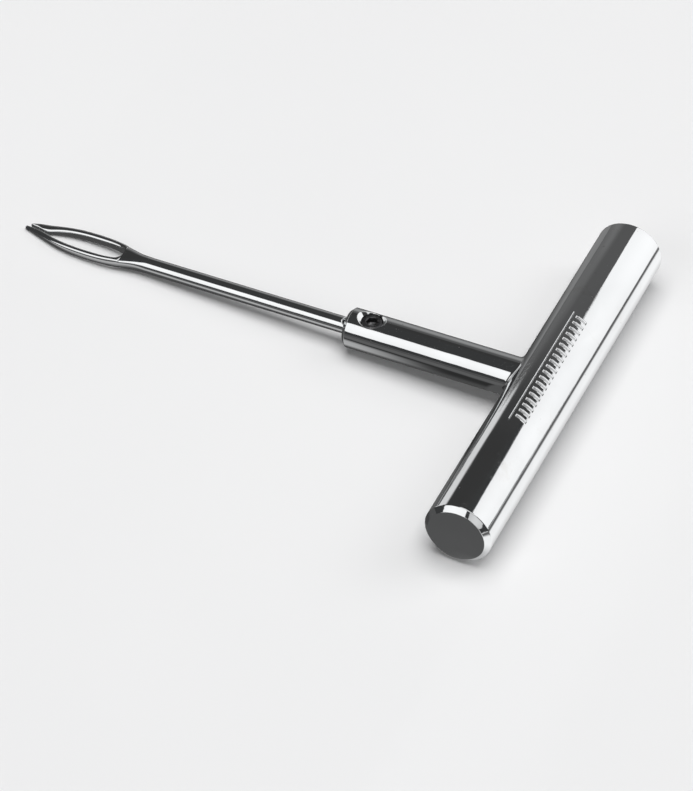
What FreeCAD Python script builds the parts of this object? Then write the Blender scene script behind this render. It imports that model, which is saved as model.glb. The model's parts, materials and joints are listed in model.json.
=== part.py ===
import FreeCAD, Part
import math
import os

# T-handle tyre plug insertion tool: a solid chromed bar with a chuck shank welded into its middle, and a split-eye
# needle held in the chuck by one socket set screw. Millimetres. Built about the point where the bar's axis and the
# chuck's axis cross: bar along Y, needle towards -X, screw on top (+Z). Then it is laid down at rest: turned about Y
# until the needle touches the ground that the bar lies on, and moved so that the origin is under the middle of its box.

# ---- driving dimensions ------------------------------------------------------------------------------------------
BAR_D = 16.0  # grip bar
BAR_L = 105.0
BAR_CHAMFER = 1.2

SHANK_D = 9.6  # chuck shank
SHANK_END_X = -49.6  # its mouth, from the bar's axis
SHANK_CHAMFER = 0.9
SPIGOT_END_X = 2.0  # how far it goes into the bar
SPIGOT_GAP = 0.02
SPIGOT_CHAMFER = 0.5
WELD_R = 1.2  # polished weld bead round the joint
WELD_OUT_R = 5.15  # its root fills a groove of this radius round the shank
WELD_ROOT_X = -4.0

NEEDLE_D = 4.0
NEEDLE_L = 100.0
NEEDLE_TIP_X = -133.6
NEEDLE_GAP = 0.05  # radial clearance in the chuck
BORE_DEPTH = 17.5  # straight part of the needle bore
BORE_MOUTH_CHAMFER = 0.4
FLAT_Z = 0.8  # height of the ground flat over the needle's axis
FLAT_L = 15.0
BUTT_CHAMFER = 0.5

SCREW_D = 5.0  # M5 socket set screw
SCREW_L = 3.0
SCREW_X = -43.6
SCREW_GAP = 0.08  # radial clearance of the plain cylinders that stand for the thread
SCREW_SEAT = 0.05  # screw point to flat
SCREW_CHAMFER = 0.35
HEX_AF = 2.5
HEX_DEPTH = 1.5
MOUTH_Z = 3.85  # the hole's 90 degree countersink starts at this height over the chuck's axis

# the eye: half heights along it, and its outlines in plan, x from the bar's axis
EYE_HALF_Z = [(-99.0, 2.6), (-101.5, 2.02), (-105.0, 1.6), (-109.0, 1.3), (-116.0, 1.15), (-123.0, 1.1), (-128.0, 0.9), (-131.5, 0.65), (-134.2, 0.42)]
EYE_OUT_MINUS = [(-101.0, -2.02), (-103.5, -2.08), (-106.0, -2.45), (-109.0, -3.05), (-113.0, -3.48), (-118.5, -3.48), (-124.0, -2.85), (-129.0, -1.4), (-133.6, 0.05)]
EYE_OUT_PLUS = [(-101.0, 2.02), (-103.2, 2.12), (-105.5, 2.62), (-108.5, 3.5), (-112.5, 4.2), (-118.0, 4.33), (-123.0, 3.85), (-128.0, 2.85), (-131.2, 2.1), (-132.6, 1.45)]
SLOT_ROOT_X = -107.6
SLOT_IN_MINUS = [(-108.4, -1.55), (-111.0, -1.86), (-114.0, -1.98), (-118.5, -1.92), (-123.0, -1.45), (-126.5, -0.62), (-128.6, 0.08)]
SLOT_IN_PLUS = [(-108.4, 1.95), (-111.0, 2.36), (-114.0, 2.55), (-118.0, 2.56), (-122.0, 2.18), (-126.0, 1.2), (-128.2, 0.62)]
SPLIT_MINUS = [(-128.6, 0.08), (-130.4, 0.45), (-133.9, 0.66)]
SPLIT_PLUS = [(-128.2, 0.62), (-130.2, 0.98), (-134.2, 1.28)]
EYE_EDGE_R = 0.4

V = FreeCAD.Vector
X, Y, Z = V(1, 0, 0), V(0, 1, 0), V(0, 0, 1)


def cyl(r, length, at, axis):
    return Part.makeCylinder(r, length, at, axis)


def cone(r1, r2, length, at, axis):
    return Part.makeCone(r1, r2, length, at, axis)


def spline(points, z):
    curve = Part.BSplineCurve()
    curve.interpolate([V(x, y, z) for x, y in points])
    return curve.toShape()


def line(a, b, z):
    return Part.makeLine(V(a[0], a[1], z), V(b[0], b[1], z))


def slab(edges, height):
    """The prism over a closed plan outline."""
    return Part.Face(Part.Wire(edges)).extrude(V(0, 0, height))


def chamfered_bar(r, length, chamfer, at, axis):
    """A cylinder with both ends chamfered."""
    return (
        cone(r - chamfer, r, chamfer, at, axis)
        .fuse(cyl(r, length - 2 * chamfer, at + axis * chamfer, axis))
        .fuse(cone(r, r - chamfer, chamfer, at + axis * (length - chamfer), axis))
        .removeSplitter()
    )


# ---- grip bar: solid, with a blind cross bore for the shank ---------------------------------------------------------
bar_r, shank_r, needle_r = BAR_D / 2, SHANK_D / 2, NEEDLE_D / 2
bar_solid = chamfered_bar(bar_r, BAR_L, BAR_CHAMFER, V(0, -BAR_L / 2, 0), Y)
grip_bar = bar_solid.cut(cyl(shank_r + SPIGOT_GAP, bar_r + 4 + SPIGOT_END_X, V(SPIGOT_END_X, 0, 0), -X))
grip_bar = grip_bar.cut(cyl(WELD_OUT_R, bar_r, V(WELD_ROOT_X, 0, 0), -X))

# ---- chuck shank: turned rod, needle bore, tapped cross hole with a countersink ----------------------------------
shank_length = SPIGOT_END_X - SHANK_END_X
shank = (
    cone(shank_r - SHANK_CHAMFER, shank_r, SHANK_CHAMFER, V(SHANK_END_X, 0, 0), X)
    .fuse(cyl(shank_r, shank_length - SHANK_CHAMFER - SPIGOT_CHAMFER, V(SHANK_END_X + SHANK_CHAMFER, 0, 0), X))
    .fuse(cone(shank_r, shank_r - SPIGOT_CHAMFER, SPIGOT_CHAMFER, V(SPIGOT_END_X - SPIGOT_CHAMFER, 0, 0), X))
    .removeSplitter()
)
bore_r = needle_r + NEEDLE_GAP
shank = shank.cut(cyl(bore_r, BORE_DEPTH, V(SHANK_END_X, 0, 0), X))
shank = shank.cut(cone(bore_r, 0, bore_r / math.tan(math.radians(59)), V(SHANK_END_X + BORE_DEPTH, 0, 0), X))
shank = shank.cut(cone(bore_r + BORE_MOUTH_CHAMFER, bore_r, BORE_MOUTH_CHAMFER, V(SHANK_END_X, 0, 0), X))
hole_r = SCREW_D / 2 + SCREW_GAP
shank = shank.cut(cyl(hole_r, shank_r + 1, V(SCREW_X, 0, 0), Z))
shank = shank.cut(cone(hole_r, hole_r + 3, 3, V(SCREW_X, 0, MOUTH_Z), Z))
chuck_shank = shank

# ---- weld bead: the root in its groove and the concave fillet on top, a body of filler metal of its own ----------------------
rod = cyl(shank_r, -SHANK_END_X - 20, V(0, 0, 0), -X)
joined = bar_solid.fuse(rod)
seam = [
    e
    for e in joined.Edges
    if e.BoundBox.XMax < -4 and e.BoundBox.XMin > -bar_r - 0.1 and e.BoundBox.YLength > 2 and e.BoundBox.YMax < shank_r + 0.1 and e.BoundBox.YMin > -shank_r - 0.1
]
root = cyl(WELD_OUT_R, bar_r + WELD_ROOT_X, V(WELD_ROOT_X, 0, 0), -X).common(bar_solid).cut(rod)
junction_weld = joined.makeFillet(WELD_R, seam).cut(bar_solid).cut(rod).fuse(root).removeSplitter()

# ---- set screw ---------------------------------------------------------------------------------------------------
screw_r = SCREW_D / 2
screw_z = FLAT_Z + SCREW_SEAT
clamp_screw = chamfered_bar(screw_r, SCREW_L, SCREW_CHAMFER, V(SCREW_X, 0, screw_z), Z)
hex_r = HEX_AF / math.sqrt(3)
corners = [V(SCREW_X + hex_r * math.cos(math.radians(60 * i + 20)), hex_r * math.sin(math.radians(60 * i + 20)), screw_z + SCREW_L - HEX_DEPTH) for i in range(6)]
socket = Part.Face(Part.makePolygon(corners + corners[:1])).extrude(V(0, 0, HEX_DEPTH + 1))
clamp_screw = clamp_screw.cut(socket)
clamp_screw = clamp_screw.cut(cone(HEX_AF / 2 - 0.05, 0, 0.5, V(SCREW_X, 0, screw_z + SCREW_L - HEX_DEPTH), -Z))
clamp_screw = clamp_screw.cut(cone(hex_r - 0.3, hex_r + 0.1, 0.4, V(SCREW_X, 0, screw_z + SCREW_L - 0.3), Z))

# ---- needle: round wire, flat for the screw, flattened and slotted eye with a split tip --------------------------
butt_x = NEEDLE_TIP_X + NEEDLE_L
wire_end = -102.0
wire = cyl(needle_r, butt_x - wire_end - BUTT_CHAMFER, V(wire_end, 0, 0), X).fuse(
    cone(needle_r, needle_r - BUTT_CHAMFER, BUTT_CHAMFER, V(butt_x - BUTT_CHAMFER, 0, 0), X)
)
wire = wire.cut(Part.makeBox(FLAT_L + 1, 6, 3, V(butt_x - FLAT_L, -3, FLAT_Z)))
wire = wire.cut(cyl(3.0, 6, V(butt_x - FLAT_L, 3, FLAT_Z + 3.0), -Y))  # the grinding wheel's run-out

outline = slab(
    [
        spline(EYE_OUT_MINUS, -4),
        line(EYE_OUT_MINUS[-1], EYE_OUT_PLUS[-1], -4),
        spline(EYE_OUT_PLUS[::-1], -4),
        line(EYE_OUT_PLUS[0], EYE_OUT_MINUS[0], -4),
    ],
    8,
)
side_top = [V(x, 0, h) for x, h in EYE_HALF_Z]
side_bottom = [V(x, 0, -h) for x, h in reversed(EYE_HALF_Z)]
top_curve, bottom_curve = Part.BSplineCurve(), Part.BSplineCurve()
top_curve.interpolate(side_top)
bottom_curve.interpolate(side_bottom)
side = Part.Face(
    Part.Wire(
        [
            top_curve.toShape(),
            Part.makeLine(side_top[-1], side_bottom[0]),
            bottom_curve.toShape(),
            Part.makeLine(side_bottom[-1], side_top[0]),
        ]
    )
).extrude(V(0, 14, 0))
side.translate(V(0, -7, 0))
slot = slab(
    [
        line((SLOT_ROOT_X, -1.0), SLOT_IN_MINUS[0], -5),
        spline(SLOT_IN_MINUS, -5),
        line(SLOT_IN_MINUS[-1], SLOT_IN_PLUS[-1], -5),
        spline(SLOT_IN_PLUS[::-1], -5),
        line(SLOT_IN_PLUS[0], (SLOT_ROOT_X, 1.4), -5),
        line((SLOT_ROOT_X, 1.4), (SLOT_ROOT_X, -1.0), -5),
    ],
    10,
)
split = slab(
    [
        spline(SPLIT_MINUS, -5),
        line(SPLIT_MINUS[-1], SPLIT_PLUS[-1], -5),
        spline(SPLIT_PLUS[::-1], -5),
        line(SPLIT_PLUS[0], SPLIT_MINUS[0], -5),
    ],
    10,
)
# the flattened head grows out of the round wire: the head is held inside a cone there, so that it blends into it
blend = cyl(needle_r, 3.0, V(-102.0 + 1.0, 0, 0), -X).fuse(cone(needle_r, 9.0, 9.0, V(-102.5, 0, 0), -X)).fuse(cyl(9.0, 24, V(-111.5, 0, 0), -X))
head = outline.common(side).common(blend)
head = head.cut(slot.fuse(split))


def rounded(shape, radius):
    """shape with its long edges rounded, as many of them as the kernel can."""
    keep = [
        e
        for e in shape.Edges
        if e.Length > 3.0 and e.BoundBox.XMax < -106.0 and e.BoundBox.ZLength < 1.8 and abs(e.CenterOfMass.z) > 0.2
    ]
    for r in (radius, radius * 0.75, radius * 0.5):
        try:
            made = shape.makeFillet(r, keep)
            if made.isValid() and made.Volume > 0.8 * shape.Volume:
                print("eye edges rounded", len(keep), "radius", r)
                return made
        except Part.OCCError:
            pass
    print("eye edges left square")
    return shape


head = rounded(head, EYE_EDGE_R)
eye_needle = wire.fuse(head).removeSplitter()

# ---- lay the tool down -------------------------------------------------------------------------------------------


def turned(shape, degrees):
    made = shape.copy()
    made.rotate(V(0, 0, 0), V(0, 1, 0), degrees)
    return made


low, high = 2.0, 4.0
for _ in range(26):
    middle = (low + high) / 2
    bottom = turned(eye_needle, -middle).optimalBoundingBox(False, False).ZMin
    low, high = (middle, high) if bottom > -bar_r else (low, middle)
REST_TILT = low

nodes = {
    "grip_bar": grip_bar,
    "chuck_shank": chuck_shank,
    "junction_weld": junction_weld,
    "clamp_screw": clamp_screw,
    "eye_needle": eye_needle,
}
laid = {name: turned(shape, -REST_TILT) for name, shape in nodes.items()}
box = FreeCAD.BoundBox()
for shape in laid.values():
    box.add(shape.optimalBoundingBox(False, False))
shift = V(-(box.XMin + box.XMax) / 2, -(box.YMin + box.YMax) / 2, -box.ZMin)

os.makedirs("parts", exist_ok=True)
for name, shape in laid.items():
    shape.translate(shift)
    solids = shape.Solids
    print(name, "solids", len(solids), "valid", shape.isValid(), "volume", round(shape.Volume, 1), "faces", len(shape.Faces))
    (solids[0] if len(solids) == 1 else shape).exportStep(os.path.join("parts", name + ".step"))
c, s = math.cos(math.radians(REST_TILT)), math.sin(math.radians(REST_TILT))


def place(x, y, z):
    """A point of the tool's own frame, laid down, in the part's frame."""
    return [round(v, 4) for v in (x * c - z * s + shift.x, y + shift.y, x * s + z * c + shift.z)]


print("tilt", round(REST_TILT, 4), "shift", [round(v, 4) for v in (shift.x, shift.y, shift.z)])
print("needle axis", [round(v, 6) for v in (-c, 0.0, -s)], "screw axis", [round(v, 6) for v in (-s, 0.0, c)])
print("bar centre", place(0, 0, 0), "screw top", place(SCREW_X, 0, screw_z + SCREW_L), "mouth", place(SHANK_END_X, 0, 0))
print("size", round(box.XLength, 3), round(box.YLength, 3), round(box.ZLength, 3))
print("eye slot", place(-111.0, 0, 0), place(-121.0, 0, 0))
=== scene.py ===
import bpy
import bmesh
import json
import math
import numpy as np
from mathutils import Matrix, Vector


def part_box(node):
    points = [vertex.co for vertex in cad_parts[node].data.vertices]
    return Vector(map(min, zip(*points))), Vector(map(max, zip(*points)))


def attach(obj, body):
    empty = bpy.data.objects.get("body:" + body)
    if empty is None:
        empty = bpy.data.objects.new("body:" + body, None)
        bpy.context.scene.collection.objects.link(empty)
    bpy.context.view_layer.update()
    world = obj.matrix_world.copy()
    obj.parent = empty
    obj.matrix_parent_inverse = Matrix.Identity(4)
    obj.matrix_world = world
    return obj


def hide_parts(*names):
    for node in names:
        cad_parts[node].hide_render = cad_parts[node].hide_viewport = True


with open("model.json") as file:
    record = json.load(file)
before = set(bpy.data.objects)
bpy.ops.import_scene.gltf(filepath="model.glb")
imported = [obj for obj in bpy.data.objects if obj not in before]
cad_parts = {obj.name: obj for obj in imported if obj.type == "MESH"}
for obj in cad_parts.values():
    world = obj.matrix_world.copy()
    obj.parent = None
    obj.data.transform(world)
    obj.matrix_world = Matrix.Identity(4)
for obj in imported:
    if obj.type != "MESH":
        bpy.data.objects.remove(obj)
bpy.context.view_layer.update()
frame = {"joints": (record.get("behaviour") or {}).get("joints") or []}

# ------------------------------------------------------------------------------------------------------------------
# The tool's own frame, in millimetres: bar along Y, needle towards -X, screw on top, origin where the two axes cross.
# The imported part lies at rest, so that frame is turned by the needle joint's axis and centred on the bar.
# ------------------------------------------------------------------------------------------------------------------
joint = {j["name"]: j for j in frame["joints"]}
ax = Vector(joint["needle_draw"]["axis"])
C, S = -ax.x, -ax.z
lo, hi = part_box("grip_bar")
BAR_AT = Vector(((lo.x + hi.x) / 2, (lo.y + hi.y) / 2, lo.z + 0.008))
PLACE = Matrix(((C, 0, -S, BAR_AT.x), (0, 1, 0, BAR_AT.y), (S, 0, C, BAR_AT.z), (0, 0, 0, 1))) @ Matrix.Scale(0.001, 4)
TURN = Matrix(((C, 0, -S), (0, 1, 0), (S, 0, C)))

BAR_R, BAR_HALF, BAR_CHAMFER = 8.0, 52.5, 1.2
SHANK_R, SHANK_END, SHANK_CHAMFER, SPIGOT_END = 4.8, -49.6, 0.9, 2.0
NEEDLE_R, BUTT, FLAT_Z, FLAT_L = 2.0, -33.6, 0.8, 15.0
BORE_R, BORE_END = 2.05, -32.1
SCREW_X, SCREW_R, SCREW_LOW, SCREW_TOP = -43.6, 2.5, 0.85, 3.85
HOLE_R, MOUTH_Z = 2.58, 3.85
WELD_R = 1.2


def smooth(e0, e1, x):
    t = np.clip((x - e0) / (e1 - e0), 0, 1)
    return t * t * (3 - 2 * t)


class Mesh:
    """Vertices and faces gathered ring by ring, in the tool's own frame."""

    def __init__(self):
        self.v, self.f = [], []

    def ring(self, points):
        start = len(self.v)
        self.v.extend([tuple(float(c) for c in p) for p in points])
        return list(range(start, len(self.v)))

    def band(self, a, b, closed=True):
        n = len(a)
        for i in range(n if closed else n - 1):
            j = (i + 1) % n
            self.f.append((a[i], a[j], b[j], b[i]))

    def cap(self, a, centre):
        c = self.ring([centre])[0]
        for i in range(len(a)):
            self.f.append((a[i], a[(i + 1) % len(a)], c))

    def mesh(self, name):
        mesh = bpy.data.meshes.new(name)
        mesh.from_pydata(self.v, [], self.f)
        bm = bmesh.new()
        bm.from_mesh(mesh)
        bmesh.ops.remove_doubles(bm, verts=bm.verts, dist=1e-4)
        bmesh.ops.recalc_face_normals(bm, faces=bm.faces)
        bm.to_mesh(mesh)
        bm.free()
        return mesh

    def make(self, name, body, nodes, material, angle=30.0, cut=None):
        mesh = self.mesh(name)
        if cut is not None:
            mesh = carve(mesh, cut.mesh(name + "_cut"))
            mesh.name = name
        mesh.transform(PLACE)
        mesh.shade_smooth()
        mesh.set_sharp_from_angle(angle=math.radians(angle))
        mesh.materials.append(material)
        obj = bpy.data.objects.new(name, mesh)
        bpy.context.scene.collection.objects.link(obj)
        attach(obj, body)
        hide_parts(*nodes)
        return obj


def carve(mesh, tool):
    """mesh less tool, both closed."""
    a, b = bpy.data.objects.new("carved", mesh), bpy.data.objects.new("carver", tool)
    for o in (a, b):
        bpy.context.scene.collection.objects.link(o)
    cut = a.modifiers.new("cut", "BOOLEAN")
    cut.operation, cut.solver, cut.object = "DIFFERENCE", "EXACT", b
    out = bpy.data.meshes.new_from_object(a.evaluated_get(bpy.context.evaluated_depsgraph_get()))
    for o, m in ((a, mesh), (b, tool)):
        bpy.data.objects.remove(o)
        bpy.data.meshes.remove(m)
    return out


def rounded(points, radii, n=5):
    """A polyline with its inner corners rounded: each corner's radius in radii, 0 for a sharp one."""
    out = [points[0]]
    for i in range(1, len(points) - 1):
        p, a, b = (np.array(q, float) for q in (points[i], points[i - 1], points[i + 1]))
        r = radii[i]
        if r <= 0:
            out.append(tuple(p))
            continue
        u, w = (a - p) / np.linalg.norm(a - p), (b - p) / np.linalg.norm(b - p)
        half = math.acos(max(-1, min(1, float(u @ w)))) / 2
        t = r / math.tan(half)
        m = (u + w) / np.linalg.norm(u + w)
        centre = p + m * r / math.sin(half)
        s, e = p + u * t - centre, p + w * t - centre
        for k in range(n + 1):
            q = s * (1 - k / n) + e * (k / n)
            out.append(tuple(centre + q / np.linalg.norm(q) * r))
    out.append(points[-1])
    return out


def curve(points):
    """A smooth function through points: x to value, cubic and twice continuous, natural ends."""
    p = np.array(sorted(points), float)
    x, y = p[:, 0], p[:, 1]
    n = len(x)
    h = np.diff(x)
    a = np.zeros((n, n))
    r = np.zeros(n)
    a[0, 0] = a[-1, -1] = 1
    for i in range(1, n - 1):
        a[i, i - 1], a[i, i], a[i, i + 1] = h[i - 1], 2 * (h[i - 1] + h[i]), h[i]
        r[i] = 6 * ((y[i + 1] - y[i]) / h[i] - (y[i] - y[i - 1]) / h[i - 1])
    m = np.linalg.solve(a, r)

    def f(q):
        q = min(max(q, x[0]), x[-1])
        i = int(min(max(np.searchsorted(x, q) - 1, 0), n - 2))
        d0, d1 = q - x[i], x[i + 1] - q
        return float(
            (m[i] * d1**3 + m[i + 1] * d0**3) / (6 * h[i])
            + (y[i] / h[i] - m[i] * h[i] / 6) * d1
            + (y[i + 1] / h[i] - m[i + 1] * h[i] / 6) * d0
        )

    return f


# ------------------------------------------------------------------------------------------------------------------
# Materials
# ------------------------------------------------------------------------------------------------------------------


class Nodes:
    """A short way to write a node tree."""

    def __init__(self, name):
        self.m = bpy.data.materials.new(name)
        self.m.use_nodes = True
        self.t = self.m.node_tree
        self.t.nodes.clear()
        self.out = self.t.nodes.new("ShaderNodeOutputMaterial")

    def new(self, kind, **props):
        n = self.t.nodes.new("ShaderNode" + kind)
        for k, v in props.items():
            setattr(n, k, v)
        return n

    def link(self, a, b):
        self.t.links.new(a, b)

    def feed(self, socket, value):
        if hasattr(value, "is_linked"):
            self.link(value, socket)
        else:
            socket.default_value = value

    def mapping(self, scale, rotation=(0, 0, 0), location=(0, 0, 0)):
        c = self.new("TexCoord")
        m = self.new("Mapping")
        m.inputs["Scale"].default_value = scale
        m.inputs["Rotation"].default_value = rotation
        m.inputs["Location"].default_value = location
        self.link(c.outputs["Object"], m.inputs["Vector"])
        return m.outputs["Vector"]

    def noise(self, vector, scale, detail=4.0, roughness=0.55, distortion=0.0):
        n = self.new("TexNoise")
        self.link(vector, n.inputs["Vector"])
        n.inputs["Scale"].default_value = scale
        n.inputs["Detail"].default_value = detail
        n.inputs["Roughness"].default_value = roughness
        n.inputs["Distortion"].default_value = distortion
        return n.outputs["Fac"]

    def remap(self, value, a, b, c, d, smooth_steps=True):
        n = self.new("MapRange")
        n.interpolation_type = "SMOOTHSTEP" if smooth_steps else "LINEAR"
        self.feed(n.inputs["Value"], value)
        n.inputs["From Min"].default_value = a
        n.inputs["From Max"].default_value = b
        n.inputs["To Min"].default_value = c
        n.inputs["To Max"].default_value = d
        return n.outputs["Result"]

    def math(self, op, a, b=0.0, c=0.0):
        n = self.new("Math", operation=op)
        for s, v in zip(n.inputs, (a, b, c)):
            self.feed(s, v)
        return n.outputs[0]

    def mix(self, fac, a, b):
        n = self.new("Mix", data_type="RGBA")
        self.feed(n.inputs[0], fac)
        for s, v in ((n.inputs[6], a), (n.inputs[7], b)):
            self.feed(s, v if hasattr(v, "is_linked") else (*v, 1.0))
        return n.outputs[2]

    def bump(self, height, strength, distance, normal=None):
        n = self.new("Bump")
        n.inputs["Strength"].default_value = strength
        n.inputs["Distance"].default_value = distance
        self.link(height, n.inputs["Height"])
        if normal is not None:
            self.link(normal, n.inputs["Normal"])
        return n.outputs["Normal"]


def chrome(name, along, tint, seed, engraved=False):
    """Polished chrome plate over turned steel: hairlines left by polishing, a soft unevenness, finger smudges, small
    pits, and duller worn spots. along is the axis that the piece was polished round."""
    n = Nodes(name)
    base = n.mapping((1, 1, 1), location=(seed, seed * 0.37, 0))
    # polishing hairlines run round the piece: fine along the axis, long across it
    fine = [9000.0, 9000.0, 9000.0]
    for i in range(3):
        if i != along:
            fine[i] = 260.0
    hair = n.noise(n.mapping(fine), 1.0, 3.0, 0.6)
    long_ = [160.0, 160.0, 160.0]
    long_[along] = 14.0
    lengthwise = n.noise(n.mapping(long_, location=(seed, 0, 0)), 6.0, 2.0, 0.5)
    waves = n.noise(base, 55.0, 1.0, 0.4)
    smudge = n.noise(base, 120.0, 5.0, 0.62, 0.6)
    spots = n.noise(base, 900.0, 2.0, 0.5)
    film = n.noise(base, 38.0, 3.0, 0.5, 1.2)
    # a few single scratches: thin bands of a warped noise
    warp = n.noise(n.mapping((70, 220, 120), rotation=(0.3, 0.5, 0.9), location=(0, seed, 0)), 3.0, 0.0, 0.0, 0.35)
    scratch = n.remap(n.math("ABSOLUTE", n.math("SUBTRACT", warp, 0.5)), 0.0, 0.0022, 1.0, 0.0)
    scratch = n.math("MULTIPLY", scratch, n.remap(smudge, 0.5, 0.62, 0.0, 1.0))
    pits = n.remap(spots, 0.73, 0.79, 0.0, 1.0)
    worn = n.remap(smudge, 0.56, 0.72, 0.0, 1.0)
    p = n.new("BsdfPrincipled")
    p.inputs["Metallic"].default_value = 1.0
    p.inputs["IOR"].default_value = 2.4
    colour = n.mix(n.remap(film, 0.3, 0.7, 0.0, 1.0), tint, tuple(c * 0.93 for c in tint))
    colour = n.mix(n.math("MULTIPLY", worn, 0.35), colour, (0.62, 0.61, 0.59))
    colour = n.mix(n.math("MULTIPLY", pits, 0.7), colour, (0.25, 0.24, 0.23))
    n.link(colour, p.inputs["Base Color"])
    rough = n.math("ADD", 0.028, n.math("MULTIPLY", hair, 0.035))
    rough = n.math("ADD", rough, n.math("MULTIPLY", worn, 0.045))
    rough = n.math("ADD", rough, n.math("MULTIPLY", scratch, 0.14))
    rough = n.math("ADD", rough, n.math("MULTIPLY", pits, 0.3))
    etched = None
    if engraved:
        # the cut floor of the marks stays as the tool left it: frosted, no polish
        across = n.mapping((1, 0, 1), location=(-BAR_AT.x, 0, -BAR_AT.z))
        length = n.new("VectorMath", operation="LENGTH")
        n.link(across, length.inputs[0])
        marks = n.new("SeparateXYZ")
        n.link(n.mapping((1, 1, 1)), marks.inputs[0])
        middle = n.math("LESS_THAN", n.math("ABSOLUTE", marks.outputs[1]), 0.03)
        etched = n.math("MULTIPLY", n.remap(length.outputs["Value"], 0.00789, 0.00796, 1.0, 0.0), middle)
        grit = n.noise(base, 9000.0, 2.0, 0.6)
        rough = n.math("ADD", rough, n.math("MULTIPLY", etched, n.remap(grit, 0.3, 0.7, 0.28, 0.42)))
        # the ends were faced in the lathe: fine rings round the middle
        faced = n.math("GREATER_THAN", n.math("ABSOLUTE", marks.outputs[1]), 0.0524)
        radius = n.new("CombineXYZ")
        n.link(length.outputs["Value"], radius.inputs[0])
        rings = n.noise(radius.outputs[0], 5200.0, 3.0, 0.7)
        rough = n.math("ADD", rough, n.math("MULTIPLY", faced, n.remap(rings, 0.35, 0.65, 0.02, 0.09)))
    n.link(rough, p.inputs["Roughness"])
    normal = n.bump(waves, 0.10, 0.0006)
    normal = n.bump(lengthwise, 0.05, 0.0002, normal)
    normal = n.bump(hair, 0.035, 0.00004, normal)
    normal = n.bump(n.math("SUBTRACT", 1.0, n.math("ADD", scratch, n.math("MULTIPLY", pits, 0.5))), 0.06, 0.00005, normal)
    if engraved:
        normal = n.bump(n.math("MULTIPLY", rings, faced), 0.10, 0.00003, normal)
        normal = n.bump(n.math("MULTIPLY", grit, etched), 0.35, 0.00004, normal)
    n.link(normal, p.inputs["Normal"])
    n.link(p.outputs[0], n.out.inputs[0])
    return n.m


def black_oxide(name):
    """Blackened steel, a little oily, with the black rubbed off in places."""
    n = Nodes(name)
    base = n.mapping((1, 1, 1))
    grain = n.noise(base, 2600.0, 4.0, 0.6)
    patches = n.noise(base, 420.0, 4.0, 0.6)
    rubbed = n.remap(n.math("ADD", patches, n.math("MULTIPLY", grain, 0.25)), 0.66, 0.80, 0.0, 1.0)
    p = n.new("BsdfPrincipled")
    p.inputs["Metallic"].default_value = 1.0
    colour = n.mix(grain, (0.085, 0.086, 0.09), (0.14, 0.14, 0.145))
    colour = n.mix(n.math("MULTIPLY", rubbed, 0.6), colour, (0.40, 0.40, 0.40))
    n.link(colour, p.inputs["Base Color"])
    rough = n.math("ADD", 0.30, n.math("MULTIPLY", grain, 0.18))
    rough = n.math("SUBTRACT", rough, n.math("MULTIPLY", rubbed, 0.1))
    n.link(rough, p.inputs["Roughness"])
    n.link(n.bump(grain, 0.25, 0.00006), p.inputs["Normal"])
    n.link(p.outputs[0], n.out.inputs[0])
    return n.m


M_BAR = chrome("chrome_bar", 1, (0.74, 0.75, 0.755), 0.013, engraved=True)
M_SHANK = chrome("chrome_shank", 0, (0.73, 0.74, 0.745), 0.031)
M_WELD = chrome("chrome_weld", 0, (0.70, 0.71, 0.715), 0.047)
M_NEEDLE = chrome("chrome_needle", 0, (0.72, 0.73, 0.735), 0.059)
M_SCREW = black_oxide("black_oxide_screw")

# ------------------------------------------------------------------------------------------------------------------
# Grip bar: turned profile with rounded edges, and a plain engraved line and row of slanted notches on top
# ------------------------------------------------------------------------------------------------------------------
LINE_AT, LINE_HALF = -5.5, 0.17  # degrees from the top towards +X; half width in mm
ROW_FROM, ROW_TO = 1.5, 22.0
MARK_Y0, MARK_Y1 = -20.8, 18.1
NOTCHES = 19
ENGRAVE = 0.13


SLANT = 0.32
A0, A1 = math.radians(ROW_FROM) * BAR_R, math.radians(ROW_TO) * BAR_R
LINE = math.radians(LINE_AT) * BAR_R
PITCH = (MARK_Y1 - MARK_Y0 - 1.2) / NOTCHES


def engraving(arc, y, along):
    """Depth in mm: at the arc from the top and the place y there is the groove, and along, the place without the
    slant, tells the notch."""
    line = (1 - smooth(LINE_HALF - 0.05, LINE_HALF + 0.05, abs(arc - LINE))) * (
        smooth(MARK_Y0, MARK_Y0 + 0.3, y) * (1 - smooth(MARK_Y1 - 0.3, MARK_Y1, y))
    )
    inside = smooth(A0 - 0.07, A0 + 0.07, arc) * (1 - smooth(A1 - 0.07, A1 + 0.07, arc))
    u = (along - MARK_Y0 - 0.6) / PITCH
    inside = inside * ((u > 0.0) & (u < NOTCHES))
    k = abs(u - np.floor(u) - 0.5) * PITCH
    notch = (1 - smooth(0.28, 0.42, k)) * inside
    return ENGRAVE * np.maximum(line, notch)


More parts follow.
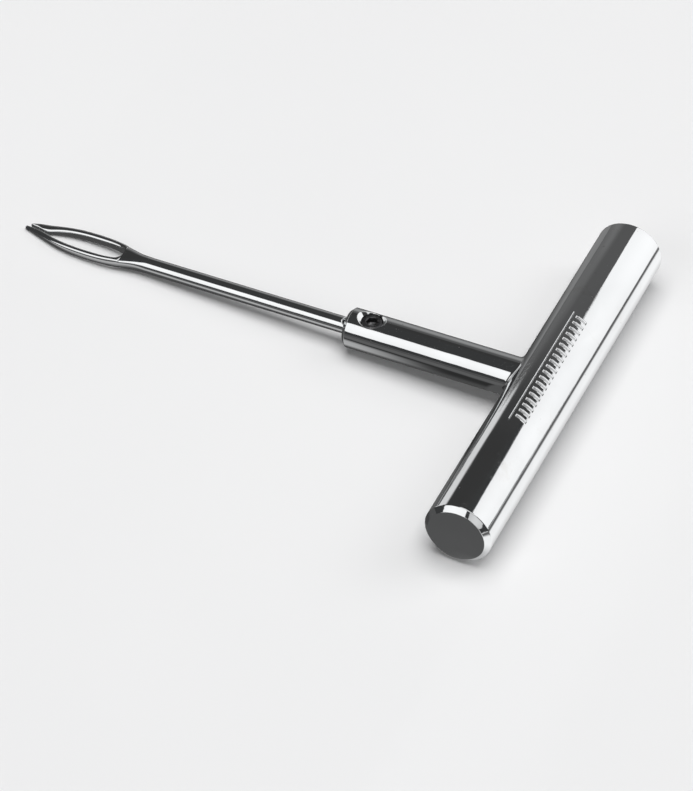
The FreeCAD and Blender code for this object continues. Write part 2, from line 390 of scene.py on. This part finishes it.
def build_bar():
    # columns round the bar, close together at the groove's and the notches' edges
    arcs = set(np.round(np.degrees(np.arange(-1.30, 3.5, 0.14)) / BAR_R, 3))
    for centre, span in ((LINE - LINE_HALF, 0.05), (LINE + LINE_HALF, 0.05), (A0, 0.07), (A1, 0.07)):
        for k in (-1.0, -0.5, 0.0, 0.5, 1.0):
            arcs.add(round(math.degrees((centre + k * span) / BAR_R), 3))
    arcs = sorted(arcs)
    phis = np.array([p for i, p in enumerate(arcs) if i == 0 or p - arcs[i - 1] > 0.08] + list(np.arange(27.0, 350.0, 3.0)))
    signed = np.where(phis > 180, phis - 360, phis)
    arc = np.radians(signed) * BAR_R
    lean = -SLANT * (np.clip(arc, A0 - 0.3, A1 + 0.3) - A0)
    # behind the marks the columns come back to where they started
    behind = phis > math.degrees((A1 + 0.3) / BAR_R)
    lean = np.where(behind, lean[np.argmax(behind) - 1] + (lean[0] - lean[np.argmax(behind) - 1]) * (phis - 26.0) / 325.0, lean)
    edge = BAR_HALF - BAR_CHAMFER
    end = rounded(
        [(0.0, BAR_HALF), (BAR_R - BAR_CHAMFER, BAR_HALF), (BAR_R, edge), (BAR_R, edge - 4.0)],
        [0, 0.22, 0.3, 0],
        6,
    )
    end = end[:-1] + [(BAR_R, edge - 0.3), (BAR_R, edge - 0.9), (BAR_R, edge - 4.0)]
    face = [(r, BAR_HALF) for r in (0.6, 2.0, 4.0, 5.6, 6.4)]
    top = face + [(r, y) for r, y in end[1:]]
    stations = list(np.linspace(MARK_Y0 - 5.0, MARK_Y0, 12)) + list(np.linspace(MARK_Y1, MARK_Y1 + 5.0, 12))
    stations += [MARK_Y0 + v for v in (0.08, 0.15, 0.22, 0.3)] + [MARK_Y1 - v for v in (0.08, 0.15, 0.22, 0.3)]
    for i in range(NOTCHES):
        c = MARK_Y0 + 0.6 + (i + 0.5) * PITCH
        stations += [c + k for k in (-0.8, -0.6, -0.42, -0.38, -0.35, -0.32, -0.28, -0.1, 0.1, 0.28, 0.32, 0.35, 0.38, 0.42, 0.6, 0.8)]
    stations = sorted(stations, reverse=True)
    middle = [float(y) for y in np.linspace(edge - 8, MARK_Y1 + 7.0, 7)] + stations
    middle += [float(y) for y in np.linspace(MARK_Y0 - 7.0, -edge + 8, 7)]
    m = Mesh()
    rings = []

    def ring(r, along):
        a = np.radians(phis)
        fade = float(smooth(MARK_Y0 - 5.0, MARK_Y0, along) * (1 - smooth(MARK_Y1, MARK_Y1 + 5.0, along)))
        y = along + lean * fade
        rr = r - (engraving(arc, y, along) if abs(along) < 30 else 0.0)
        rings.append(m.ring(np.stack([rr * np.sin(a), y, rr * np.cos(a)], 1)))

    for r, y in top:
        ring(r, y)
    for y in middle:
        ring(BAR_R, y)
    for r, y in reversed(top):
        ring(r, -y)
    for a, b in zip(rings, rings[1:]):
        m.band(a, b)
    m.cap(rings[0], (0, BAR_HALF, 0))
    m.cap(rings[-1], (0, -BAR_HALF, 0))
    # the blind socket for the shank's spigot, under the bead
    socket = Mesh()
    low, high = (
        socket.ring([(x, 4.82 * math.cos(a), 4.82 * math.sin(a)) for a in np.radians(np.arange(0, 360, 3.0) + 0.7)])
        for x in (-12.0, 2.02)
    )
    socket.band(low, high)
    socket.cap(low, (-12.0, 0, 0))
    socket.cap(high, (2.02, 0, 0))
    return m.make("grip_bar_chromed", "handle", ["grip_bar"], M_BAR, 40, socket)


# ------------------------------------------------------------------------------------------------------------------
# Chuck shank: turned rod with the needle's bore, and the countersunk screw hole let into a polar patch of the surface
# ------------------------------------------------------------------------------------------------------------------


def on_shank(x, w, r=SHANK_R):
    """A point at arc w (mm, towards -Y from the top) on the shank."""
    t = w / SHANK_R
    return (x, -r * math.sin(t), r * math.cos(t))


def rim_radius(alpha):
    """The countersink's radius where its cone meets the shank, at angle alpha round the screw."""
    r = HOLE_R + 0.5
    for _ in range(60):
        r = 0.5 * r + 0.5 * (HOLE_R + math.sqrt(max(SHANK_R**2 - (r * math.sin(alpha)) ** 2, 0)) - MOUTH_Z)
    return r


def build_shank():
    m = Mesh()
    columns, half, reach = 144, 24, 4.6
    step = 2 * math.pi / columns
    patch_x = np.linspace(SCREW_X - reach, SCREW_X + reach, 41)
    mouth = rounded(
        [(SHANK_END + 6.0, BORE_R), (SHANK_END + 0.4, BORE_R), (SHANK_END, BORE_R + 0.4), (SHANK_END, SHANK_R - SHANK_CHAMFER), (SHANK_END + SHANK_CHAMFER, SHANK_R), (SHANK_END + 1.3, SHANK_R)],
        [0, 0.1, 0.12, 0.16, 0.22, 0],
        5,
    )
    bore = [(BORE_END, BORE_R), (-36.0, BORE_R), (-40.0, BORE_R)] + mouth[:-1]
    after = [(x, SHANK_R) for x in np.linspace(SCREW_X + reach, 1.3, 30)[1:]]
    spigot = rounded([(1.3, SHANK_R), (1.5, SHANK_R), (SPIGOT_END, SHANK_R - 0.5), (SPIGOT_END, 2.0)], [0, 0.2, 0.1, 0], 3)[1:]
    profile = bore + [(x, SHANK_R) for x in patch_x] + after + spigot
    first = len(bore)
    last = first + len(patch_x) - 1
    rings = []
    for i, (x, r) in enumerate(profile):
        inside = first < i < last
        ring = []
        for k in range(columns):
            j = k if k <= columns // 2 else k - columns
            if inside and abs(j) < half:
                ring.append(None)
                continue
            t = k * step
            ring.append(m.ring([(x, -r * math.sin(t), r * math.cos(t))])[0])
        rings.append(ring)
    for i in range(len(rings) - 1):
        for k in range(columns):
            q = (rings[i][k], rings[i][(k + 1) % columns], rings[i + 1][(k + 1) % columns], rings[i + 1][k])
            j = k if k < columns // 2 else k - columns
            if first <= i < last and -half <= j < half:
                continue
            m.f.append(q)
    m.cap(rings[0], (BORE_END + BORE_R / math.tan(math.radians(59)), 0, 0))
    m.cap(rings[-1], (SPIGOT_END, 0, 0))
    # the patch's border, in order round it
    border = []
    ks = list(range(-half, half + 1))
    for k in ks:
        border.append((first, k))
    for i in range(first + 1, last + 1):
        border.append((i, half))
    for k in reversed(ks[:-1]):
        border.append((last, k))
    for i in range(last - 1, first, -1):
        border.append((i, -half))
    outer = [rings[i][k % columns] for i, k in border]
    flat, rims, alphas = [], [], []
    for i, k in border:
        x = profile[i][0] - SCREW_X
        w = k * step * SHANK_R
        flat.append((x, w))
        y = -SHANK_R * math.sin(k * step)
        alpha = math.atan2(y, x)
        rho = rim_radius(alpha)
        ry = rho * math.sin(alpha)
        rims.append((rho * math.cos(alpha), -math.asin(ry / SHANK_R) * SHANK_R))
        alphas.append((alpha, rho))
    flat, rims = np.array(flat), np.array(rims)
    out = flat - rims
    out /= np.linalg.norm(out, axis=1)[:, None]
    lip = rims + out * 0.13
    previous = outer
    for t in (0.86, 0.72, 0.59, 0.47, 0.36, 0.27, 0.19, 0.13, 0.08, 0.04, 0.0):
        uw = lip * (1 - t) + flat * t
        ring = m.ring([on_shank(SCREW_X + u, w) for u, w in uw])
        m.band(previous, ring)
        previous = ring
    start = [np.array(m.v[i]) for i in previous]
    for s in (0.2, 0.4, 0.6, 0.8, 1.0):
        pts = []
        for p0, (u, w), (alpha, rho) in zip(start, rims, alphas):
            corner = np.array(on_shank(SCREW_X + u, w))
            r3 = max(rho - 0.11, HOLE_R + 0.005)
            p3 = np.array((SCREW_X + r3 * math.cos(alpha), r3 * math.sin(alpha), MOUTH_Z + r3 - HOLE_R))
            pts.append((1 - s) ** 2 * p0 + 2 * s * (1 - s) * corner + s * s * p3)
        ring = m.ring(pts)
        m.band(previous, ring)
        previous = ring
    for r, z in ((HOLE_R + 0.003, MOUTH_Z), (HOLE_R, MOUTH_Z - 0.05), (HOLE_R, 3.2), (HOLE_R, 2.6), (HOLE_R, 2.2)):
        ring = m.ring([(SCREW_X + r * math.cos(a), r * math.sin(a), z) for a, _ in alphas])
        m.band(previous, ring)
        previous = ring
    m.cap(previous, (SCREW_X, 0, 2.2))
    # the screw hole goes on down into the bore
    hole = Mesh()
    low, high = (
        hole.ring([(SCREW_X + 2.575 * math.cos(a), 2.575 * math.sin(a), z) for a in np.radians(np.arange(0, 360, 3.0) + 1.3)])
        for z in (0.0, 2.35)
    )
    hole.band(low, high)
    hole.cap(low, (SCREW_X, 0, 0.0))
    hole.cap(high, (SCREW_X, 0, 2.35))
    return m.make("chuck_shank_chromed", "handle", ["chuck_shank"], M_SHANK, 38, hole)


# ------------------------------------------------------------------------------------------------------------------
# Weld bead: a rolling ball's fillet between bar and shank, polished but not quite even
# ------------------------------------------------------------------------------------------------------------------


def build_weld():
    m = Mesh()
    rings = []
    n = 128
    for k in range(n):
        b = 2 * math.pi * k / n
        ball = WELD_R * (1 + 0.035 * math.sin(3 * b + 0.6) + 0.02 * math.sin(7 * b + 2.0) + 0.012 * math.sin(13 * b))
        cy, cz = (SHANK_R + ball) * math.cos(b), (SHANK_R + ball) * math.sin(b)
        cx = -math.sqrt((BAR_R + ball) ** 2 - cz * cz)
        centre = np.array((cx, cy, cz))
        a = np.array((cx, SHANK_R * math.cos(b), SHANK_R * math.sin(b)))
        q = BAR_R / (BAR_R + ball)
        e = np.array((cx * q, cy, cz * q))
        u, w = a - centre, e - centre
        pts = []
        for i in range(13):
            t = i / 12
            d = u * (1 - t) + w * t
            pts.append(centre + d / np.linalg.norm(d) * ball)
        inward_bar = -np.array((cx, 0, cz)) / (BAR_R + ball)
        inward_rod = -np.array((0, math.cos(b), math.sin(b)))
        pts.append(e + inward_bar * 0.25)
        pts.append((a + e) / 2 + (inward_bar + inward_rod) * 0.9)
        pts.append(a + inward_rod * 0.25)
        rings.append(m.ring(pts))
    for i in range(n):
        m.band(rings[i], rings[(i + 1) % n])
    return m.make("junction_weld_polished", "handle", ["junction_weld"], M_WELD, 50)


# ------------------------------------------------------------------------------------------------------------------
# Set screw: socket, rounded edges and the first turns of its thread
# ------------------------------------------------------------------------------------------------------------------


def build_screw():
    m = Mesh()
    n = 144
    angles = np.radians(20.0 + np.arange(n) * 360.0 / n)
    hexagon = 1.25 / np.cos(np.radians((np.degrees(angles) - 20.0) % 60.0 - 30.0))

    def circle(r, z):
        r = np.broadcast_to(r, (n,))
        z = np.broadcast_to(z, (n,))
        return m.ring(np.stack([SCREW_X + r * np.cos(angles), r * np.sin(angles), z], 1))

    side = rounded(
        [(0.8, SCREW_LOW), (SCREW_R - 0.35, SCREW_LOW), (SCREW_R, SCREW_LOW + 0.35), (SCREW_R, SCREW_LOW + 0.7)], [0, 0.06, 0.06, 0], 3
    )
    rings = [circle(r, z) for r, z in side]
    # the thread, cut into the outside so that it stays within the screw's radius
    turns = np.arange(SCREW_LOW + 0.72, SCREW_TOP - 0.40, 0.05)
    for z in turns:
        phase = (z / 0.8 - angles / (2 * math.pi)) % 1.0
        depth = 0.26 * smooth(0.12, 0.5, 0.5 - np.abs(phase - 0.5))
        fade = smooth(0, 0.3, z - turns[0]) * (1 - smooth(-0.12, 0.06, z - turns[-1]))
        rings.append(circle(SCREW_R - depth * fade, z))
    top = rounded(
        [(SCREW_R, SCREW_TOP - 0.36), (SCREW_R, SCREW_TOP - 0.33), (SCREW_R - 0.33, SCREW_TOP), (1.75, SCREW_TOP)], [0, 0.05, 0.08, 0], 3
    )
    rings += [circle(r, z) for r, z in top]
    rings.append(circle(1.62, SCREW_TOP))
    rings.append(circle(np.minimum(1.56, np.maximum(hexagon + 0.10, 1.45)), SCREW_TOP - 0.02))
    rings.append(circle(hexagon + 0.02, SCREW_TOP - 0.12))
    rings.append(circle(hexagon, SCREW_TOP - 0.2))
    rings.append(circle(hexagon, SCREW_TOP - 1.1))
    rings.append(circle(hexagon * 0.985, SCREW_TOP - 1.46))
    rings.append(circle(np.minimum(hexagon * 0.93, 1.2), SCREW_TOP - 1.52))
    rings.append(circle(0.6, SCREW_TOP - 1.8))
    for a, b in zip(rings, rings[1:]):
        m.band(a, b)
    m.cap(rings[0], (SCREW_X, 0, SCREW_LOW))
    m.cap(rings[-1], (SCREW_X, 0, SCREW_TOP - 2.0))
    return m.make("clamp_screw_socket", "screw", ["clamp_screw"], M_SCREW, 32)


# ------------------------------------------------------------------------------------------------------------------
# Needle: round wire with its ground flat, flattened head, slotted eye, two tines with a split tip
# ------------------------------------------------------------------------------------------------------------------
HALF_Z = curve([(-99.0, 2.6), (-101.5, 2.02), (-105.0, 1.6), (-109.0, 1.3), (-116.0, 1.15), (-123.0, 1.1), (-128.0, 0.9), (-131.5, 0.65), (-134.2, 0.42)])
OUT_MINUS = curve([(-101.0, -2.02), (-103.5, -2.08), (-106.0, -2.45), (-109.0, -3.05), (-113.0, -3.48), (-118.5, -3.48), (-124.0, -2.85), (-129.0, -1.4), (-133.6, 0.05)])
OUT_PLUS = curve([(-101.0, 2.02), (-103.2, 2.12), (-105.5, 2.62), (-108.5, 3.5), (-112.5, 4.2), (-118.0, 4.33), (-123.0, 3.85), (-128.0, 2.85), (-131.2, 2.1), (-132.6, 1.45)])
IN_MINUS = curve([(-108.4, -1.55), (-111.0, -1.86), (-114.0, -1.98), (-118.5, -1.92), (-123.0, -1.45), (-126.5, -0.62), (-128.6, 0.08), (-130.4, 0.45), (-133.9, 0.66)])
IN_PLUS = curve([(-108.4, 1.95), (-111.0, 2.36), (-114.0, 2.55), (-118.0, 2.56), (-122.0, 2.18), (-126.0, 1.2), (-128.2, 0.62), (-130.2, 0.98), (-134.2, 1.28)])
ROOT_X, ROOT_Y = -107.6, 0.2
N_RING = 96  # even; its half runs over one tine's outside


def power(t, n):
    c, s = math.cos(t), math.sin(t)
    return math.copysign(abs(c) ** (2 / n), c), math.copysign(abs(s) ** (2 / n), s)


def build_needle():
    m = Mesh()
    quarter = N_RING // 4
    base = [math.pi / 2 - 2 * math.pi * k / N_RING for k in range(N_RING)]  # from the top towards +Y
    corner = math.asin(FLAT_Z / NEEDLE_R)
    wire = list(base)
    for target in (corner, math.pi - corner, corner - 2 * math.pi, -math.pi - corner):
        i = int(np.argmin([abs(t - target) for t in wire]))
        if abs(wire[i] - target) < math.pi / N_RING:
            wire[i] = target
    rings = []
    butt = rounded([(BUTT, 0.7), (BUTT, NEEDLE_R - 0.5), (BUTT - 0.5, NEEDLE_R), (BUTT - 1.0, NEEDLE_R)], [0, 0.1, 0.15, 0], 3)
    xs = [(x, r) for x, r in butt]
    xs += [(x, NEEDLE_R) for x in np.arange(BUTT - 1.5, BUTT - FLAT_L + 0.2, -0.75)]
    run = BUTT - FLAT_L
    xs += [(x, NEEDLE_R) for x in np.linspace(run, run - 3.0, 16)]
    xs += [(x, NEEDLE_R) for x in np.linspace(run - 4.5, -99.5, 34)]
    for x, r in xs:
        if x >= run:
            top = FLAT_Z
        elif x > run - 3.0:
            top = FLAT_Z + 3.0 - math.sqrt(max(9.0 - (x - run) ** 2, 0))
        else:
            top = 9.0
        rings.append(m.ring([(x, r * math.cos(t), min(r * math.sin(t), top)) for t in wire]))
    # the head, up to the slot's root: from a circle to a flattened, rounded section
    head_x = list(np.linspace(-100.0, -107.0, 22)) + [-107.25, -107.45, ROOT_X]
    for x in head_x:
        s = float(smooth(100.5, 107.0, -x))
        n = 2.0 + 1.6 * s
        lo_y, hi_y = OUT_MINUS(x), OUT_PLUS(x)
        h = min(HALF_Z(x), NEEDLE_R) if x < -100.8 else NEEDLE_R
        if x > -101.0:
            lo_y, hi_y = -NEEDLE_R, NEEDLE_R
        mid = ROOT_Y * s
        pts = []
        for t in base:
            c, sn = power(t, n)
            pts.append((x, mid + (c * (hi_y - mid) if c > 0 else c * (mid - lo_y)), sn * h))
        rings.append(m.ring(pts))
    for a, b in zip(rings, rings[1:]):
        m.band(a, b)
    m.cap(rings[0], (BUTT, 0, 0))
    root = rings[-1]
    half = N_RING // 2
    inner = 14  # points up the slot's wall
    h0 = HALF_Z(ROOT_X)
    wall = m.ring([(ROOT_X, ROOT_Y, h0 * math.sin(math.pi / 2 * (-1 + 2 * (i + 1) / (inner + 1)))) for i in range(inner)])  # bottom to top

    def tine(side, inside, outside, end_x, tip):
        """side +1 or -1. Loop: from the top over the outside to the bottom, then up the slot's wall."""
        if side > 0:
            loop = [root[k] for k in range(half + 1)]
            order = [base[k] for k in range(half + 1)]
        else:
            loop = [root[(-k) % N_RING] for k in range(half + 1)]
            order = [math.pi - base[k] for k in range(half + 1)]
        loop = loop + wall
        previous = loop
        # steps: quick at the root, where the slot opens like the end of a milled slot
        fast = [ROOT_X - 1.15 * (1 - math.cos(math.pi / 2 * k / 10)) for k in range(1, 11)]
        rest = list(np.arange(fast[-1] - 0.25, -127.5, -0.4))
        close = list(np.linspace(-127.7, end_x, 18))
        for x in fast + rest + close:
            if x > -108.75:
                # rounded corners of the slot's root, then straight on
                d = (ROOT_X - x) / 1.15
                open_ = math.sqrt(max(1 - (1 - d) ** 2.6, 0.0))
                target = inside(-108.75)
                yi = ROOT_Y + (target - ROOT_Y) * open_
            else:
                yi = inside(x)
            yo = outside(x)
            h = HALF_Z(x)
            s = float(smooth(107.6, 109.6, -x))
            full_n = 3.6
            n_tine = 2.25
            mid, w = (yi + yo) / 2, abs(yo - yi) / 2
            pts = []
            # half section: the overall shape cut by the slot's wall
            for k, t in enumerate(order):
                c, sn = power(t, full_n)
                ya = yi + abs(c) * (yo - yi)
                za = sn * h
                # whole section: a rounded bar of its own
                v = math.pi / 2 - (k / half) * math.pi
                spread = 1.22
                v2 = v * spread if abs(v * spread) < math.pi * 0.72 else math.copysign(math.pi * 0.72, v)
                cc, ss = power(v2, n_tine)
                yb = mid + side * cc * w if side * (yo - yi) > 0 else mid - side * cc * w
                zb = ss * h
                pts.append((x, ya * (1 - s) + yb * s, za * (1 - s) + zb * s))
            v_end = min(math.pi / 2 * 1.22, math.pi * 0.72)
            for i in range(inner):
                f = (i + 1) / (inner + 1)
                za = h * math.sin(math.pi / 2 * (-1 + 2 * f))
                v = -v_end - (2 * math.pi - 2 * v_end) * f
                cc, ss = power(v, n_tine)
                yb = mid + side * cc * w
                pts.append((x, yi * (1 - s) + yb * s, za * (1 - s) + ss * h * s))
            ring = m.ring(pts)
            m.band(previous, ring)
            previous = ring
        # close the point with two shrinking rings
        centre = np.mean([m.v[i] for i in previous], axis=0)
        for k, (shrink, forward) in enumerate(((0.82, 0.10), (0.5, 0.17))):
            pts = []
            for i in previous if k == 0 else last_full:
                p = np.array(m.v[i])
                q = centre + (p - centre) * shrink
                q[0] = centre[0] - forward
                pts.append(q)
            if k == 0:
                last_full = list(previous)
            ring = m.ring(pts)
            m.band(previous, ring)
            previous = ring
        m.cap(previous, (centre[0] - 0.19, centre[1], centre[2]))

    tine(-1, IN_MINUS, OUT_MINUS, -133.3, -133.6)
    tine(1, IN_PLUS, OUT_PLUS, -132.35, -132.6)
    return m.make("eye_needle_chromed", "needle", ["eye_needle"], M_NEEDLE, 42)


bar = build_bar()
shank = build_shank()
weld = build_weld()
screw = build_screw()
needle = build_needle()

# ------------------------------------------------------------------------------------------------------------------
# Floor, lights, camera
# ------------------------------------------------------------------------------------------------------------------


def plane(name, x0, y0, x1, y1, z, material):
    mesh = bpy.data.meshes.new(name)
    mesh.from_pydata([(x0, y0, z), (x1, y0, z), (x1, y1, z), (x0, y1, z)], [], [(0, 1, 2, 3)])
    mesh.materials.append(material)
    obj = bpy.data.objects.new(name, mesh)
    bpy.context.scene.collection.objects.link(obj)
    return obj


def floor_material():
    n = Nodes("studio_floor")
    p = n.new("BsdfPrincipled")
    cloud = n.noise(n.mapping((1, 1, 1)), 9.0, 3.0, 0.5)
    n.link(n.mix(cloud, (0.80, 0.80, 0.805), (0.83, 0.83, 0.832)), p.inputs["Base Color"])
    p.inputs["Roughness"].default_value = 0.75
    p.inputs["Specular IOR Level"].default_value = 0.2
    n.link(p.outputs[0], n.out.inputs[0])
    return n.m


floor = plane("floor", -4, -4, 4, 4, 0.0, floor_material())
floor.visible_glossy = False


def glow_material():
    """A card's own light, from the radiance kept at its points."""
    n = Nodes("studio_card")
    a = n.new("Attribute", attribute_name="radiance")
    e = n.new("Emission")
    n.link(a.outputs["Color"], e.inputs["Color"])
    n.link(e.outputs[0], n.out.inputs[0])
    n.m.cycles.emission_sampling = "NONE"
    return n.m


GLOW = glow_material()


def card(name, corners, nx, ny, radiance, place=PLACE):
    """A reflector card that only the polished metal sees: four corners in mm, and the radiance as a function of the
    place on it, (s, t) from 0 to 1 along its sides, and the point itself."""
    p = [np.array(c, float) for c in corners]
    s, t = np.meshgrid(np.linspace(0, 1, nx + 1), np.linspace(0, 1, ny + 1), indexing="ij")
    q = [(1 - s) * (1 - t), s * (1 - t), s * t, (1 - s) * t]
    points = sum(w[..., None] * c for w, c in zip(q, p)).reshape(-1, 3)
    faces = [
        (i * (ny + 1) + j, (i + 1) * (ny + 1) + j, (i + 1) * (ny + 1) + j + 1, i * (ny + 1) + j + 1)
        for i in range(nx)
        for j in range(ny)
    ]
    mesh = bpy.data.meshes.new(name)
    mesh.from_pydata(points.tolist(), [], faces)
    mesh.transform(place)
    value = np.broadcast_to(radiance(s.ravel(), t.ravel(), points), (len(points),))
    layer = mesh.color_attributes.new("radiance", "FLOAT_COLOR", "POINT")
    colours = np.stack([value, value, value * 1.005, np.ones(len(points))], 1).astype(np.float32)
    layer.data.foreach_set("color", colours.ravel())
    mesh.materials.append(GLOW)
    obj = bpy.data.objects.new(name, mesh)
    bpy.context.scene.collection.objects.link(obj)
    obj.visible_camera = obj.visible_diffuse = obj.visible_shadow = obj.visible_transmission = False
    return obj


def painted_table_reflection(s, t, p):
    """A painted reflection standing in for the table, which only the polish sees, not the pale floor's own colour:
    pale on the tool's right, painted shade close beside the bar, a painted dark edge a hand's breadth off, dark in
    front, a middle grey behind."""
    x, y = p[:, 0] - BAR_AT.x * 1000, p[:, 1]
    # painted light and shade: pale to the right of the bar, darker close beside it, then a dark band further off
    right = 0.5 + 0.7 * smooth(3.0, 17.0, x)
    right = right - 1.05 * smooth(31.0, 46.0, x) * (1 - smooth(66.0, 88.0, x))
    # painted shade in front of the tool, with a painted pale strip close in front of it towards -X
    front = 0.035 + 0.11 * smooth(-15.0, -19.0, y) * (1 - smooth(-34.0, -60.0, y)) + 0.05 * smooth(-9.0, -6.0, y)
    front = front + 0.5 * smooth(-24.0, -52.0, x) * smooth(-14.0, -10.0, y) * (1 - smooth(-5.5, -4.0, y))
    front = np.where(x > -14, 0.11, front) * (1 - smooth(0.0, 8.0, x)) + 0.12 * smooth(0.0, 8.0, x)
    back = 0.09 + 0.17 * smooth(15.0, 70.0, y) - 0.05 * smooth(-24.0, -12.0, x)
    left = front + (back - front) * smooth(-6.0, 12.0, y)
    level = left + (right - left) * smooth(-3.0, 6.0, x)
    # painted shade: the reflection right in front of the bar's near end is as dark as the rest of the front
    near = smooth(-51.0, -55.0, y) * (1 - smooth(7.0, 11.0, x))
    return level * (1 - near) + 0.11 * near


# a card seen only in reflections, carrying the painted table reflection in place of the hidden floor's own
card("card_painted_table_reflection", [(-70, -260, 0), (150, -260, 0), (150, 260, 0), (-70, 260, 0)], 220, 260, painted_table_reflection, Matrix.Scale(0.001, 4))


def backdrop(s, t, p):
    """The dark wall behind: a low pale strip, a middle grey inside a ring, and dark above it."""
    x, z = p[:, 0], p[:, 2]
    rho = np.hypot(x, z)
    level = 0.05 + 0.065 * (1 - smooth(450.0, 540.0, rho))
    low = smooth(-60.0, 40.0, z) * (1 - smooth(120.0, 330.0, z))
    return level + low * (0.20 * smooth(-420.0, -260.0, x) + 0.05)


card("card_backdrop", [(-1100, 452, -80), (60, 452, -80), (60, 452, 900), (-1100, 452, 900)], 110, 90, backdrop)
card(
    "card_right",
    [(20, 450, -90), (1000, 450, -90), (1000, 450, 765), (20, 450, 438)],
    12,
    12,
    lambda s, t, p: 1.22 + 0.10 * np.sin(math.pi * s) * np.sin(math.pi * t),
)
card(
    "card_front",
    [(-840, -600, 158), (85, -600, 158), (85, -600, 1190), (-840, -600, 1190)],
    12,
    12,
    lambda s, t, p: 1.26 + 0.12 * np.sin(math.pi * s) * np.sin(math.pi * t),
)
card(
    "card_front_right",
    [(190, -600, 60), (660, -600, 60), (660, -600, 560), (190, -600, 560)],
    12,
    12,
    lambda s, t, p: 0.75 + 0.15 * np.sin(math.pi * s) * np.sin(math.pi * t),
)


def left_card(s, t, p):
    """A strip that only the near half of the bar sees, cut off by a slanting edge."""
    z = p[:, 2]
    return 0.05 + 0.82 * smooth(-95.0, 10.0, z) * (1 - smooth(140.0, 222.0, z))


card("card_left_low", [(-400, 60, -90), (-400, 350, -90), (-400, 350, 60), (-400, 60, 60)], 4, 30, left_card)
card("card_left_high", [(-400, 60, 60), (-400, 350, 60), (-400, 397, 222), (-400, 60, 222)], 4, 40, left_card)
card(
    "card_above",
    [(-140, -330, 600), (560, -330, 600), (560, 420, 600), (-140, 420, 600)],
    12,
    12,
    lambda s, t, p: 0.95 + 0.25 * np.sin(math.pi * s) * np.sin(math.pi * t),
)
card(
    "card_far_left",
    [(-640, -70, 18), (-640, 170, 18), (-640, 170, 330), (-640, -70, 330)],
    12,
    12,
    lambda s, t, p: 0.9 + 0.2 * np.sin(math.pi * s) * np.sin(math.pi * t),
)


def area(name, at, aim, width, height, radiance, colour=(1, 1, 1)):
    """A soft box that lights the table and the dull places of the metal, facing aim."""
    light = bpy.data.lights.new(name, "AREA")
    light.shape = "RECTANGLE"
    light.size, light.size_y = width, height
    light.energy = radiance * math.pi * width * height
    light.color = colour
    obj = bpy.data.objects.new(name, light)
    obj.location = at
    obj.rotation_mode = "QUATERNION"
    obj.rotation_quaternion = (Vector(aim) - Vector(at)).to_track_quat("-Z", "Y")
    obj.visible_glossy = False
    bpy.context.scene.collection.objects.link(obj)
    return obj


world = bpy.data.worlds.new("studio")
world.use_nodes = True
world.node_tree.nodes["Background"].inputs[0].default_value = (0.96, 0.98, 1.0, 1)
world.node_tree.nodes["Background"].inputs[1].default_value = 0.055
bpy.context.scene.world = world

area("overhead", (0.0, 0.05, 1.3), (0, 0, 0), 1.2, 1.2, 3.9)
area("side", (0.9, 0.8, 0.9), (0.0, 0.0, 0.0), 0.8, 0.8, 2.2)
area("front", (-0.4, -1.1, 0.8), (0.0, 0.0, 0.0), 0.9, 0.7, 1.8)

# the camera: the photograph's station about the tool, given in the tool's own frame
STATION = Vector((262.9, -694.7, 700.7))
AZ, EL, F_PX = math.radians(24.73), math.radians(39.13), 3045.0
EXACT = False
forward = Vector((-math.sin(AZ) * math.cos(EL), math.cos(AZ) * math.cos(EL), -math.sin(EL)))
right = Vector((math.cos(AZ), math.sin(AZ), 0))
up = right.cross(forward)


def ray(u, v):
    """The direction through a point of the 693 by 791 picture, in the tool's own frame."""
    return (forward + right * ((u - 346.5) / F_PX) - up * ((v - 395.5) / F_PX)).normalized()


zoom = 1.0
if not EXACT:
    forward = ray(365.0, 628.0)
    right = forward.cross(Vector((0, 0, 1))).normalized()
    up = right.cross(forward)
    zoom = 1.47
cam_data = bpy.data.cameras.new("camera")
cam_data.sensor_fit = "AUTO"
cam_data.sensor_width = 36.0
cam_data.lens = F_PX * zoom * 36.0 / 791.0
cam_data.dof.use_dof = False
cam_data.clip_start, cam_data.clip_end = 0.05, 20.0
cam = bpy.data.objects.new("camera", cam_data)
axes = Matrix((TURN @ right, TURN @ up, TURN @ -forward)).transposed()
cam.matrix_world = Matrix.Translation(PLACE @ STATION) @ axes.to_4x4()
bpy.context.scene.collection.objects.link(cam)
bpy.context.scene.camera = cam
bpy.context.scene.view_settings.view_transform = "Standard"
